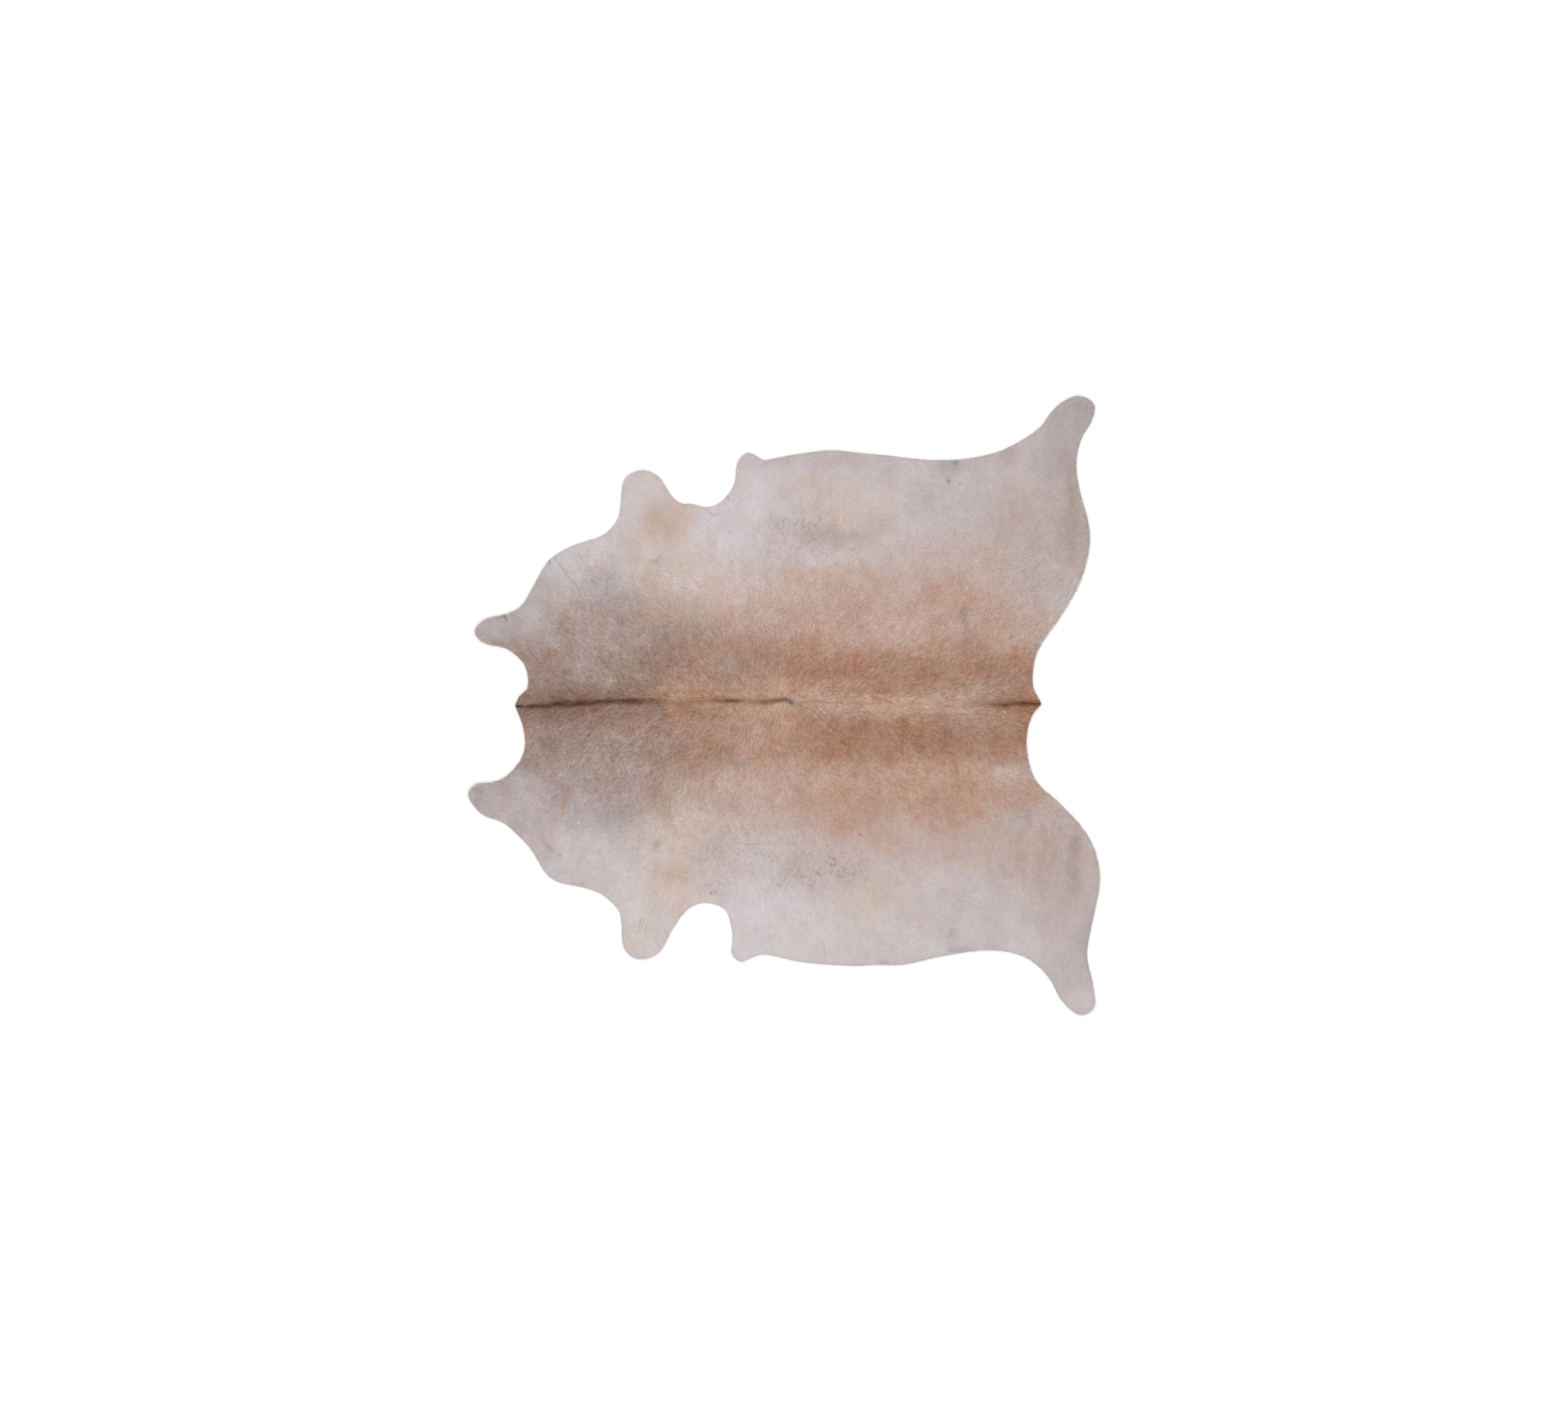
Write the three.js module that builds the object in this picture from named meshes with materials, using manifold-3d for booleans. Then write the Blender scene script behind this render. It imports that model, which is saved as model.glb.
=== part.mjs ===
// A whole cowhide rug, lying flat with its short coat up.
// Millimetres, +Z up. The origin is under the middle of the hide, on the floor.
// +X runs along the spine to the tail, and +Y out to the animal's right side.
import * as THREE from 'three';
import { mergeVertices } from 'three/addons/utils/BufferGeometryUtils.js';
import Module from 'manifold-3d';

// Overall size of the sheet that the hide is cut from
const LENGTH = 2200;
const WIDTH = 2160;

// Thickness of the leather, and of the coat lying on it
const LEATHER = 2.4;
const COAT_AT_EDGE = 1.4;
const COAT_ON_BACK = 2.2;
const BACK_REACH = 430;

// The coat stands a little higher along the spine
const SPINE_Y = 8;
const SPINE_REACH = 26;
const SPINE_RISE = 1.3;

// The sheet's grid, with closer rows near the spine
const COLUMNS = 44;
const ROWS = 44;
const EVEN_ROWS = 0.7;

// Steps between two rows of an outline table
const STEPS = 4;

// Reach of the cutting block over and under the sheet
const CUT_ABOVE = 40;
const CUT_BELOW = 10;

// Outline: places on the cut edge, in stretches that run from the tail round
// the right side to the neck, and from the neck round the left side to the tail.
const TAIL_TIP = { x: 880, y: 5 };
const FLAP_CORNER = { x: -68, y: 837 };
const NECK_TIP = { x: -919, y: 0 };

const RIGHT_RUMP = [
  { x: 867, y: 30 },
  { x: 852, y: 60 },
  { x: 849, y: 106 },
  { x: 867, y: 188 },
  { x: 951, y: 313 },
  { x: 1014, y: 427 },
  { x: 1044, y: 549 },
  { x: 1039, y: 628 },
  { x: 1012, y: 731 },
];

const RIGHT_HIND_LEG = [
  { x: 999, y: 827 },
  { x: 1015, y: 908 },
  { x: 1052, y: 975 },
  { x: 1059, y: 1030 },
  { x: 1007, y: 1058 },
  { x: 951, y: 1037 },
  { x: 909, y: 998 },
  { x: 878, y: 954 },
  { x: 758, y: 878 },
];

const RIGHT_BELLY = [
  { x: 652, y: 847 },
  { x: 522, y: 838 },
  { x: 368, y: 853 },
  { x: 246, y: 864 },
  { x: 164, y: 872 },
  { x: 37, y: 858 },
];

const RIGHT_ELBOW = [
  { x: -125, y: 864 },
  { x: -159, y: 831 },
  { x: -172, y: 753 },
  { x: -215, y: 697 },
  { x: -262, y: 678 },
  { x: -318, y: 690 },
  { x: -347, y: 689 },
];

const RIGHT_FORELEG = [
  { x: -384, y: 716 },
  { x: -421, y: 774 },
  { x: -447, y: 795 },
  { x: -482, y: 803 },
  { x: -527, y: 790 },
  { x: -550, y: 761 },
  { x: -560, y: 676 },
  { x: -567, y: 641 },
  { x: -612, y: 586 },
];

const RIGHT_SHOULDER = [
  { x: -726, y: 545 },
  { x: -802, y: 498 },
  { x: -851, y: 419 },
  { x: -898, y: 341 },
];

const RIGHT_CHEEK = [
  { x: -945, y: 314 },
  { x: -1023, y: 293 },
  { x: -1057, y: 253 },
  { x: -1031, y: 215 },
  { x: -943, y: 191 },
  { x: -885, y: 135 },
  { x: -877, y: 58 },
  { x: -904, y: 32 },
];

const LEFT_CHEEK = [
  { x: -890, y: -82 },
  { x: -889, y: -162 },
  { x: -943, y: -238 },
  { x: -988, y: -260 },
  { x: -1052, y: -269 },
  { x: -1079, y: -302 },
  { x: -1036, y: -369 },
];

const LEFT_SHOULDER = [
  { x: -957, y: -403 },
  { x: -867, y: -490 },
  { x: -798, y: -591 },
  { x: -676, y: -625 },
];

const LEFT_FORELEG = [
  { x: -625, y: -645 },
  { x: -586, y: -677 },
  { x: -564, y: -703 },
  { x: -556, y: -742 },
  { x: -550, y: -822 },
  { x: -525, y: -856 },
  { x: -488, y: -867 },
  { x: -429, y: -845 },
  { x: -379, y: -762 },
];

const LEFT_ELBOW = [
  { x: -326, y: -694 },
  { x: -268, y: -675 },
  { x: -201, y: -700 },
  { x: -177, y: -782 },
  { x: -178, y: -853 },
  { x: -148, y: -876 },
  { x: -114, y: -863 },
  { x: -72, y: -851 },
];

const LEFT_BELLY = [
  { x: 50, y: -876 },
  { x: 236, y: -890 },
  { x: 318, y: -886 },
  { x: 405, y: -886 },
  { x: 554, y: -854 },
  { x: 708, y: -836 },
];

const LEFT_HIND_LEG = [
  { x: 827, y: -862 },
  { x: 906, y: -933 },
  { x: 946, y: -1006 },
  { x: 1012, y: -1058 },
  { x: 1058, y: -1032 },
  { x: 1055, y: -953 },
  { x: 1035, y: -853 },
];

const LEFT_RUMP = [
  { x: 1049, y: -761 },
  { x: 1079, y: -583 },
  { x: 1044, y: -454 },
  { x: 946, y: -337 },
  { x: 856, y: -251 },
  { x: 828, y: -119 },
  { x: 848, y: -34 },
];

// The edge is smooth along each of these lists, and turns a corner where two meet
const SMOOTH_EDGES = [
  [TAIL_TIP, ...RIGHT_RUMP, ...RIGHT_HIND_LEG, ...RIGHT_BELLY, FLAP_CORNER],
  [FLAP_CORNER, ...RIGHT_ELBOW, ...RIGHT_FORELEG, ...RIGHT_SHOULDER, ...RIGHT_CHEEK, NECK_TIP],
  [NECK_TIP, ...LEFT_CHEEK, ...LEFT_SHOULDER, ...LEFT_FORELEG, ...LEFT_ELBOW, ...LEFT_BELLY,
    ...LEFT_HIND_LEG, ...LEFT_RUMP, TAIL_TIP],
];

// Where the edge lifts off the floor: the flap and leg tips and slack belly edges
const LIFTS = [
  { name: 'right neck flap', x: -1080, y: 262, reach: 95, rise: 7 },
  { name: 'left neck flap', x: -1110, y: -310, reach: 110, rise: 8 },
  { name: 'right foreleg', x: -500, y: 850, reach: 110, rise: 5 },
  { name: 'left foreleg', x: -500, y: -910, reach: 110, rise: 5 },
  { name: 'right hind leg', x: 1060, y: 1095, reach: 130, rise: 7 },
  { name: 'left hind leg', x: 1060, y: -1090, reach: 130, rise: 7 },
  { name: 'right elbow flap', x: -120, y: 915, reach: 85, rise: 4 },
  { name: 'left elbow flap', x: -140, y: -925, reach: 85, rise: 4 },
  { name: 'right belly', x: 210, y: 935, reach: 120, rise: 4 },
  { name: 'right flank', x: 600, y: 905, reach: 110, rise: 4 },
  { name: 'left belly', x: 330, y: -950, reach: 120, rise: 4 },
  { name: 'left flank', x: 660, y: -905, reach: 110, rise: 4 },
  { name: 'right rump', x: 1095, y: 590, reach: 110, rise: 4 },
  { name: 'left rump', x: 1135, y: -590, reach: 120, rise: 4 },
];

// A smaller lift than this leaves the underside flat on the floor
const LEAST_LIFT = 0.4;

// Where the skin is thicker or slightly puckered, so that the top stands higher
const SWELLS = [
  { name: 'neck', x: -720, y: 40, reach: 190, rise: 0.9 },
  { name: 'right shoulder', x: -480, y: 330, reach: 190, rise: 0.6 },
  { name: 'left shoulder', x: -480, y: -340, reach: 190, rise: 0.6 },
  { name: 'right ribs', x: 120, y: 420, reach: 260, rise: 0.5 },
  { name: 'left ribs', x: 120, y: -430, reach: 260, rise: 0.5 },
  { name: 'right haunch', x: 800, y: 480, reach: 200, rise: 0.8 },
  { name: 'left haunch', x: 800, y: -500, reach: 200, rise: 0.8 },
];

// Main creases: soft troughs along a straight line from one end to the other
const CREASES = [
  { name: 'right neck fold', x1: -765, y1: 475, x2: -690, y2: 345, reach: 24, depth: 1 },
  { name: 'left neck fold', x1: -840, y1: -425, x2: -770, y2: -510, reach: 24, depth: 0.8 },
  { name: 'right groin', x1: 880, y1: 740, x2: 700, y2: 640, reach: 40, depth: 0.8 },
  { name: 'left groin', x1: 890, y1: -760, x2: 700, y2: -650, reach: 40, depth: 0.8 },
  { name: 'right armpit', x1: -300, y1: 640, x2: -340, y2: 520, reach: 36, depth: 0.7 },
  { name: 'left armpit', x1: -300, y1: -640, x2: -340, y2: -520, reach: 36, depth: 0.7 },
];

function smoothEdge(rows) {
  const curve = new THREE.CatmullRomCurve3(
    rows.map((row) => new THREE.Vector3(row.x, row.y, 0)),
  );
  const points = curve.getPoints(STEPS * (rows.length - 1));
  points.pop();
  return points.map((point) => new THREE.Vector2(point.x, point.y));
}

function bell(distance, reach) {
  return Math.exp(-((distance / reach) ** 2));
}

function distanceToLine(x, y, line) {
  const along = new THREE.Line3(
    new THREE.Vector3(line.x1, line.y1, 0),
    new THREE.Vector3(line.x2, line.y2, 0),
  );
  const place = new THREE.Vector3(x, y, 0);
  return along.closestPointToPoint(place, true, new THREE.Vector3()).distanceTo(place);
}

// Height of the underside over the floor, level wherever a lift has died away
function undersideAt(x, y) {
  const lift = LIFTS.reduce(
    (sum, row) => sum + row.rise * bell(Math.hypot(x - row.x, y - row.y), row.reach),
    0,
  );
  return Math.max(0, lift - LEAST_LIFT);
}

function thicknessAt(x, y) {
  const off = y - SPINE_Y;
  const coat = COAT_AT_EDGE + COAT_ON_BACK * bell(off, BACK_REACH);
  const ridge = SPINE_RISE * bell(off, SPINE_REACH);
  const swell = SWELLS.reduce(
    (sum, row) => sum + row.rise * bell(Math.hypot(x - row.x, y - row.y), row.reach),
    0,
  );
  const trough = CREASES.reduce(
    (sum, row) => sum + row.depth * bell(distanceToLine(x, y, row), row.reach),
    0,
  );
  return LEATHER + coat + ridge + swell - trough;
}

function solidOf(wasm, geometry) {
  const bare = geometry.clone();
  bare.deleteAttribute('normal');
  bare.deleteAttribute('uv');
  const merged = mergeVertices(bare);
  return new wasm.Manifold(new wasm.Mesh({
    numProp: 3,
    vertProperties: new Float32Array(merged.attributes.position.array),
    triVerts: new Uint32Array(merged.index.array),
  }));
}

function geometryOf(solid) {
  const mesh = solid.getMesh();
  const geometry = new THREE.BufferGeometry();
  geometry.setAttribute('position', new THREE.BufferAttribute(mesh.vertProperties, 3));
  geometry.setIndex(new THREE.BufferAttribute(mesh.triVerts, 1));
  geometry.computeVertexNormals();
  return geometry;
}

// The uncut sheet: a thin box whose two faces follow the relief
function reliefSheet() {
  const sheet = new THREE.BoxGeometry(LENGTH, WIDTH, LEATHER, COLUMNS, ROWS, 1);
  const places = sheet.attributes.position;
  for (let i = 0; i < places.count; i += 1) {
    const row = places.getY(i) / (WIDTH / 2);
    const x = places.getX(i);
    const y = (WIDTH / 2) * (EVEN_ROWS * row + (1 - EVEN_ROWS) * row ** 3);
    const underside = undersideAt(x, y);
    const top = places.getZ(i) > 0;
    places.setXYZ(i, x, y, top ? underside + thicknessAt(x, y) : underside);
  }
  return sheet;
}

// A block with the hide's outline, taller than the sheet, to cut it with
function outlineBlock() {
  const edge = SMOOTH_EDGES.flatMap(smoothEdge);
  const block = new THREE.ExtrudeGeometry(new THREE.Shape(edge), {
    depth: CUT_ABOVE + CUT_BELOW,
    bevelEnabled: false,
  });
  block.translate(0, 0, -CUT_BELOW);
  return block;
}

function hide(wasm) {
  const cut = solidOf(wasm, reliefSheet()).intersect(solidOf(wasm, outlineBlock()));
  const haircoat = new THREE.MeshStandardMaterial({
    color: 0xbfa797,
    roughness: 0.75,
    metalness: 0,
  });
  const mesh = new THREE.Mesh(geometryOf(cut), haircoat);
  mesh.name = 'hide';
  return mesh;
}

const wasm = await Module();
wasm.setup();

const cowhide = new THREE.Group();
cowhide.add(hide(wasm));

export default cowhide;
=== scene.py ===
"""A whole cowhide laid flat: a thin leather sheet under a short coat of lying hair."""

import math

import bmesh
import bpy
import numpy as np
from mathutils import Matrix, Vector
from mathutils.bvhtree import BVHTree
from mathutils.geometry import delaunay_2d_cdt


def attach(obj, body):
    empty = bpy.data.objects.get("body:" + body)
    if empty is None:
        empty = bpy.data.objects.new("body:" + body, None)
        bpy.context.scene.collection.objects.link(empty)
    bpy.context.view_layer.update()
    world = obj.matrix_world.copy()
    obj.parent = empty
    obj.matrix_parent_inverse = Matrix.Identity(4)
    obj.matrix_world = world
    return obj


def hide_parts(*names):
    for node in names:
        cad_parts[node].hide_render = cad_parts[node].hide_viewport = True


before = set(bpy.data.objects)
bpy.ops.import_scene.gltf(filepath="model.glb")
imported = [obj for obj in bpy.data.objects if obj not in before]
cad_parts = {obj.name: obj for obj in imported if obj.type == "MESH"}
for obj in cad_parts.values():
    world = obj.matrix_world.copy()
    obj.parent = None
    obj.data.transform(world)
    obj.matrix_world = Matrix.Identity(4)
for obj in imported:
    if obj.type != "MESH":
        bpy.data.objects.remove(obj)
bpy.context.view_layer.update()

SEED = 11
# Places are in metres: +X to the tail, +Y to the animal's right side, +Z up. Only the
# tables from PATCHES on have them in centimetres, and how strong a tone is in percent.
CM = 0.01
PERCENT = 0.01

# Steps along the outline: as it is kept, for distances from it, and for the cut rim
OUTLINE_STEP = 0.004
DISTANCE_STEP = 0.012
RIM_STEP = 0.006
# The grid of the solid's heights: its step, how many steps it goes past the outline,
# how far inside the outline it is read, and the height where it has none
GRID_STEP = 0.008
GRID_MARGIN = 3
GRID_INSET = 0.0005
RIM_HEIGHT = 0.004

# The leather: spacing, scatter and room to the rim of the points on its two faces
LEATHER_EDGE_INSET = 0.0012
LEATHER_LEAST = 0.0012
LEATHER_LEAST_LOW = 0.001
TOP_SPACING, TOP_ROOM = 0.0095, 0.006
LOW_SPACING, LOW_ROOM = 0.024, 0.014
LEATHER_SCATTER = 0.12

# The coat's depth, and how far from the spine it is deep and its locks are long
COAT_AT_EDGE = 0.0014
COAT_ON_BACK = 0.0022
DEEP_REACH = 0.43
BACK_REACH = 0.45
WHORL = (0.016, 0.013)
# Where the coat is split, from the neck to the tail, and the pieces between
COAT_CUTS = (-2, -0.55, -0.13, 0.26, 0.64, 2)
COAT_NAMES = ("coat_neck", "coat_shoulder", "coat_ribs", "coat_loin", "coat_rump")

# The locks of hair. Where a value has two numbers, they are the number at the belly
# edge and what the middle of the back adds to it.
HAIR_SPACING = 0.00352
HAIR_SCATTER = 0.5
HAIR_ROOM = 0.0006
HAIR_OVERHANG = 0.0016
HAIR_LENGTH = (0.0085, 0.0065)
HAIR_WIDTH = (0.0013, 0.0003)
HAIR_LIFT = (0.0006, 0.0012)
# Smallest and largest share of those that a lock has
LENGTH_SPREAD = (0.7, 1.3)
WIDTH_SPREAD = (0.8, 1.2)
LIFT_SPREAD = (0.5, 1.4)
STEEPEST_LIFT = 0.3
# Locks that hang over the rim are trimmed to this share, up to this many times
TRIMMED, TRIMS = 0.7, 6
HAIR_TURN = math.radians(9)
HAIR_ROLL = (0.35, 0.65)
HAIR_STRAY = 0.004
ROOT_RAISE = 0.0001
ROOT_NARROWING = 0.7
MIDDLE_PLACE, MIDDLE_LIFT = 0.5, 0.75

# Painted shade: how bright the hair is at its root, what the back takes off that, and at the cut
# rim; then painted light at the tips
ROOT_PAINTED_SHADE = 0.96
ROOT_PAINTED_SHADE_BACK = 0.08
RIM_PAINTED_SHADE = 0.88
TIP_PAINTED_LIGHT = (1.01, 0.04)
COAT_GAIN = 1.155
# Painted light and shade that even out how the studio light falls on hair that lies different
# ways, then painted shade towards the belly edges
LIE_PAINTED_LIGHT = (0.07, -0.013)
FLANK_PAINTED_SHADE = 0.068
# How far locks are paler or darker than the coat, as sRGB numbers, the last being painted shadow
# between locks on the shoulders
PALER_LOCKS, DARKER_LOCKS = 27, 43.2
SINGLE_LOCK, LOCK_PAINTED_SHADOW = 10, 30
# The line down the back, the cloudy tones of the coat, and how far a mark is painted
LINE_GAIN = 1.15
CLOUD_STRETCH, CLOUD_STRENGTH, CLOUD_REACH = 0.7, (0.45, 0.55), 0.42
STREAK_REACH = 0.11
MARK_REACH = 3
# How paler or warmer hair departs from its surroundings in red, green and blue
TONE_SPREAD = np.array((0.8, 1, 1.14))
WARMTH_SPREAD = np.array((1, -0.6, -2))

# Scale and corner of the parts of the texture that pieces are laid out in
TOP_LAYOUT = ((0.68, 0.98), (0.01, 0.01))
LOW_LAYOUT = ((0.28, 0.98), (0.71, 0.01))
COAT_LAYOUT = (0.98, 0.01)

# Layers of each noise: strength, size of its features, seed, and for some how much
# finer they are along and across
NOISES = {
    "warp along": [(0.034, 0.13, 1), (0.014, 0.045, 2)],
    "warp across": [(0.026, 0.13, 3), (0.012, 0.045, 4)],
    "spot warp along": [(0.012, 0.05, 7), (0.005, 0.018, 8)],
    "spot warp across": [(0.012, 0.05, 9), (0.005, 0.018, 10)],
    "ragged rim": [(1, 0.022, 11), (1, 0.009, 12)],
    "line bend": [(0.3, 0.03, 5, 1, 0.3)],
    "line breaks": [(0.4, 0.018, 6, 1, 3.5), (0.25, 0.007, 20, 1, 3)],
    "cloud bend": [(0.01, 0.03, 17)],
    "broad cloud": [(7, 0.05, 13)],
    "cloud": [(7.5, 0.02, 14)],
    "fine cloud": [(5, 0.009, 18)],
    "broad warmth": [(1.6, 0.09, 15)],
    "warmth": [(2, 0.025, 16)],
    "streaks": [(5, 0.009, 19, 0.22, 1)],
    "flecks": [(1, 0.0075, 61), (0.7, 0.0036, 62), (0.5, 0.03, 63)],
    "skin relief": [(0.00012, 0.03, 21)],
    "lie": [(0.16, 0.07, 31), (0.16, 0.014, 32)],
    "suede": [(0.05, 0.12, 41)],
    "locks": [(0.6, 0.0042, 51), (0.5, 0.0022, 52)],
    "painted lock shadows": [(1, 0.0034, 53)],
}
NOISE_TABLE = 256

# Colours of the coat, as sRGB numbers from 0 to 255
PALETTE = {
    "pearl": (206, 197, 199),
    "lilac": (196, 185, 185),
    "cream": (207, 196, 190),
    "beige": (201, 184, 173),
    "haze": (190, 180, 178),
    "ash": (182, 170, 168),
    "slate": (166, 154, 153),
    "greige": (184, 168, 161),
    "mauve": (182, 167, 165),
    "taupe": (168, 151, 144),
    "hazel": (170, 139, 123),
    "bister": (138, 109, 95),
    "dusk": (152, 130, 119),
    "peach": (199, 173, 161),
    "sand": (203, 187, 180),
    "blush": (193, 168, 158),
    "tan": (190, 159, 143),
    "fawn": (186, 150, 131),
    "clay": (176, 138, 116),
    "saddle": (166, 126, 105),
    "rust": (158, 113, 88),
    "amber": (180, 141, 109),
    "cocoa": (156, 131, 120),
    "umber": (74, 46, 34),
    "ink": (86, 76, 78),
    "smudge": (160, 149, 160),
    "suede": (190, 178, 160),
}

# Broad patches, painted in this order. The next tables have the same columns.
PATCHES = [
    # name, x, y, half_long, half_wide, colour, strength, and degrees of turn if any
    ("barrel", 24, 1, 80, 43, "tan", 92),
    ("fore barrel", -25, 0, 34, 33, "tan", 85),
    ("right elbow", -36, 53, 17, 19, "beige", 65),
    ("left elbow", -34, -52, 17, 19, "beige", 65),
    ("right flank", 22, 62, 22, 14, "beige", 45),
    ("left flank", 30, -63, 24, 10, "beige", 45),
    ("right shoulder", -62, 19, 34, 21, "taupe", 95, -8),
    ("left shoulder", -62, -18, 34, 20, "taupe", 95, 6),
    ("neck", -84, 0, 16, 22, "cocoa", 85),
    ("right rump", 86, 54, 24, 22, "greige", 95, 25),
    ("left rump", 88, -53, 24, 20, "greige", 95, -20),
    ("right thigh", 62, 46, 18, 12, "blush", 60),
    ("left thigh", 62, -43, 20, 12, "blush", 60),
    ("right hind leg", 98, 93, 18, 12, "slate", 65, 62),
    ("left hind leg", 99, -90, 20, 12, "ash", 55, -65),
    ("right cheek", -97, 26, 16, 7, "ash", 95),
    ("left cheek", -97, -31, 18, 9, "ash", 90, -6),
    ("right flank front", -17, 66, 16, 22, "pearl", 95),
    ("left flank front", -7, -76, 26, 16, "pearl", 95),
    ("right saddle", 27, 12, 62, 8, "saddle", 80),
    ("left saddle", 32, -11.5, 56, 8.5, "saddle", 85, -1),
    ("right withers", -25, 15, 24, 12, "hazel", 62, -4),
    ("left withers", -27, -12, 24, 11, "hazel", 70),
]

# Smaller patches and stains over them, on the right side
RIGHT_SPOTS = [
    ("cheek root", -93, 21, 5, 3, "cocoa", 50),
    ("cheek tip", -104, 25, 3, 5, "slate", 25),
    ("cheek middle", -96, 28.5, 4, 3, "slate", 45),
    ("jowl light", -84, 35.5, 9, 5, "haze", 55),
    ("neck middle", -74, 33, 7, 6, "ash", 45),
    ("shoulder inner", -44, 6.5, 9, 3, "clay", 60),
    ("shoulder low", -40, 31, 10, 5, "tan", 30),
    ("foreleg wash", -48, 62, 11, 15, "cream", 35),
    ("jaw", -83, 29, 7, 4, "ash", 50),
    ("neck edge", -71, 46, 12, 9, "pearl", 60, -30),
    ("neck rim pale", -66, 55.5, 7, 4, "pearl", 70),
    ("neck shade", -84, 42, 4, 4, "ash", 60),
    ("neck bald", -63, 42, 7, 6, "ash", 75),
    ("nape", -76, 16.5, 6, 3, "cocoa", 60),
    ("nape grey", -78, 21.5, 3.5, 2.5, "ash", 55),
    ("nape rust", -79.5, 16.5, 2.6, 1.6, "hazel", 55),
    ("nape rust rear", -72.5, 18.2, 2.6, 2, "hazel", 50),
    ("nape light", -66, 12, 6, 4, "mauve", 35),
    ("shoulder dark", -52, 10, 11, 8, "dusk", 55, -10),
    ("shoulder pale", -52, 23.5, 10, 4.5, "mauve", 38),
    ("foreleg inner", -42, 62, 6, 6, "fawn", 42, 30),
    ("foreleg outer", -33, 67, 5, 5, "peach", 45),
    ("foreleg front", -54.5, 70, 5, 11, "pearl", 75),
    ("foreleg tip", -48, 76, 6, 4, "cream", 60),
    ("foreleg smudge", -43, 50, 3.5, 1.4, "mauve", 50),
    ("brisket", -24, 43, 22, 8, "sand", 70),
    ("ribs front", -12, 29, 10, 7, "blush", 70),
    ("withers dark", -40, 15, 9, 6, "bister", 40),
    ("withers mid", -28, 14, 9, 7, "hazel", 60),
    ("withers outer", -40, 25, 10, 5, "cocoa", 35),
    ("withers warm", -12, 15, 12, 5, "hazel", 60),
    ("whorl light", -7, 6, 10, 3.5, "fawn", 80),
    ("saddle front", 5, 7.5, 6, 2.5, "clay", 35),
    ("saddle deep", 15, 12.5, 11, 4.5, "rust", 45),
    ("saddle middle", 50, 10.5, 8, 3.5, "rust", 30),
    ("croup deep", 80, 13, 7, 5, "rust", 55),
    ("croup rear", 86.5, 17, 3, 6, "taupe", 40),
    ("croup inner", 82, 7, 7, 3.5, "saddle", 80),
    ("saddle inner", 42, 6.5, 9, 2.5, "saddle", 60),
    ("saddle light", 17, 6.6, 9, 2, "fawn", 50),
    ("saddle edge", 12, 19, 14, 4, "clay", 50),
    ("saddle gap", 40, 19, 11, 3, "fawn", 80),
    ("rib inner", 27, 22.5, 13, 4.5, "blush", 68),
    ("rib glow", 20, 34, 18, 5, "tan", 35),
    ("rib front warm", 0, 28, 7, 5, "fawn", 30),
    ("croup", 71, 10, 10, 6, "saddle", 70),
    ("croup grey", 70, 6.5, 9, 4, "taupe", 45),
    ("withers pale", -18, 12.5, 3, 2, "taupe", 60),
    ("rib spot", 20, 38, 5, 4, "fawn", 40),
    ("rib warm", 14, 42, 18, 6, "peach", 65),
    ("rib rear", 50, 33, 10, 7, "fawn", 40),
    ("rib stripe", 52, 40, 7, 3, "fawn", 45, 35),
    ("haunch warm", 62, 34, 10, 5, "tan", 60, 15),
    ("rib pale", 36, 40, 5, 4, "blush", 60),
    ("rib light", 43, 28, 5, 3, "peach", 50),
    # Darker along a shallow hollow in the skin
    ("smear", 62.2, 25.5, 1.6, 5, "dusk", 50, 8),
    ("smear low", 63.5, 20.5, 4.5, 5, "saddle", 60),
    ("smear tail", 61.2, 31, 1.4, 3, "cocoa", 45),
    ("belly pale", 12, 50, 15, 3.5, "pearl", 45),
    ("belly shade", 12, 57.5, 14, 3, "mauve", 70),
    ("belly shade front", -2, 62.5, 5, 4, "mauve", 40),
    ("belly cream", 22, 66, 5, 7, "beige", 60),
    ("flank shade", 30, 62, 7, 4, "greige", 30),
    ("belly edge", 10, 75, 6, 5, "beige", 50),
    ("purple spot", 58.5, 82.5, 2.2, 1.8, "smudge", 70),
    ("purple band", 56, 81.2, 5, 1.4, "smudge", 55),
    ("purple tail", 56, 77, 1.6, 2, "smudge", 50),
    ("thigh edge", 76, 85.5, 5, 3, "taupe", 50, 35),
    ("thigh pale", 58, 70, 14, 9, "haze", 75),
    # Darker along the rim: painted edge shade
    ("thigh rim", 64, 82.5, 13, 5.5, "ash", 50),
    ("belly rim", 10, 84.5, 30, 3, "ash", 42),
    ("hock", 97.5, 79, 4, 7, "taupe", 60),
    ("leg rim", 103.5, 60, 2.5, 8, "slate", 60),
    ("rump cream", 78, 70, 8, 6, "greige", 40),
    # A darker band along the rump fold: painted shade in the fold
    ("rump band", 97.5, 66, 2.5, 14, "taupe", 70),
    ("hoof", 103, 102, 3, 4, "slate", 60, -20),
    ("tail side", 94, 42, 7, 8, "haze", 80),
    ("rump tan", 74, 27, 11, 7, "tan", 60),
    ("rump light", 80, 49, 7, 10, "haze", 25),
    ("rump warm", 86, 26, 5, 6, "tan", 35),
]

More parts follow.
